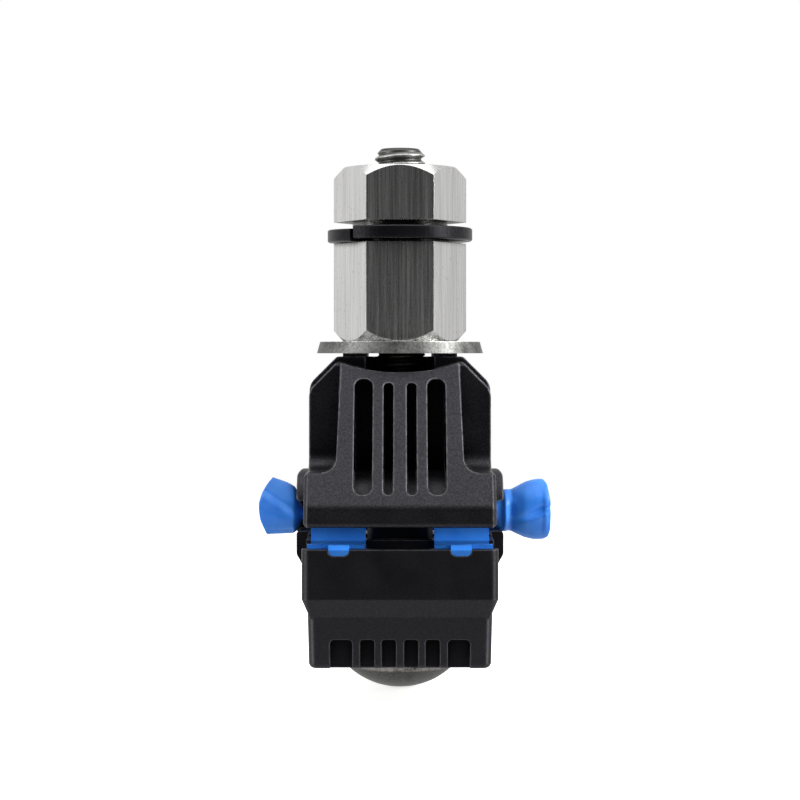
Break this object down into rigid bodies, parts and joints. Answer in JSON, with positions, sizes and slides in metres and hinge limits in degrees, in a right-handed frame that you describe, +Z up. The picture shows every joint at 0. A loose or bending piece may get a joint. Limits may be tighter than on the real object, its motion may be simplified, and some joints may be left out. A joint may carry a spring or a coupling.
{
  "type": "insulation piercing connector",
  "caption": "Insulation piercing connector: black moulded jaws with toothed blades and blue silicone seals, drawn onto a run cable and a tap cable by a bolt and a shear nut.",
  "frame": {"origin": "on the axis of the run cable's trough, halfway along it", "axes": "+X along both cables, +Y from the run cable towards the bolt and the tap cable, +Z up along the bolt"},
  "size_m": [0.0476, 0.047, 0.0849],
  "materials": {
    "jaw_nylon": "moulded glass-filled nylon",
    "silicone": "moulded silicone",
    "contact_metal": "tinned stamping",
    "bolt_steel": "zinc plated",
    "washer_steel": "hot-dip galvanised",
    "nut_aluminium": "drawn and turned",
    "ring_plastic": "moulded"
  },
  "bodies": {
    "base": {"lower_jaw": "jaw_nylon", "clamp_bolt": "bolt_steel", "lower_left_blade": "contact_metal", "lower_left_run_seal": "silicone", "lower_left_tap_seal": "silicone", "left_cable_boot": "silicone", "lower_right_blade": "contact_metal", "lower_right_run_seal": "silicone", "lower_right_tap_seal": "silicone", "right_cable_boot": "silicone"},
    "hood": {"upper_jaw": "jaw_nylon", "plate_washer": "washer_steel", "upper_left_blade": "contact_metal", "upper_left_run_seal": "silicone", "upper_left_tap_seal": "silicone", "upper_right_blade": "contact_metal", "upper_right_run_seal": "silicone", "upper_right_tap_seal": "silicone"},
    "nut": {"shear_nut": "nut_aluminium", "spacer_ring": "ring_plastic"}
  },
  "joints": [
    {"name": "hood_slide", "type": "slide", "parent": "base", "child": "hood", "axis": [0, 0, 1], "range_m": [0, 0.012]},
    {"name": "nut_turn", "type": "hinge", "parent": "hood", "child": "nut", "pos_m": [0, 0.0145, 0.03205], "axis": [0, 0, 1], "range_deg": [0, 3456]}
  ],
  "couplings": [
    {"joint": "nut_turn", "follows": "hood_slide", "rad_per_m": 5026.5}
  ]
}
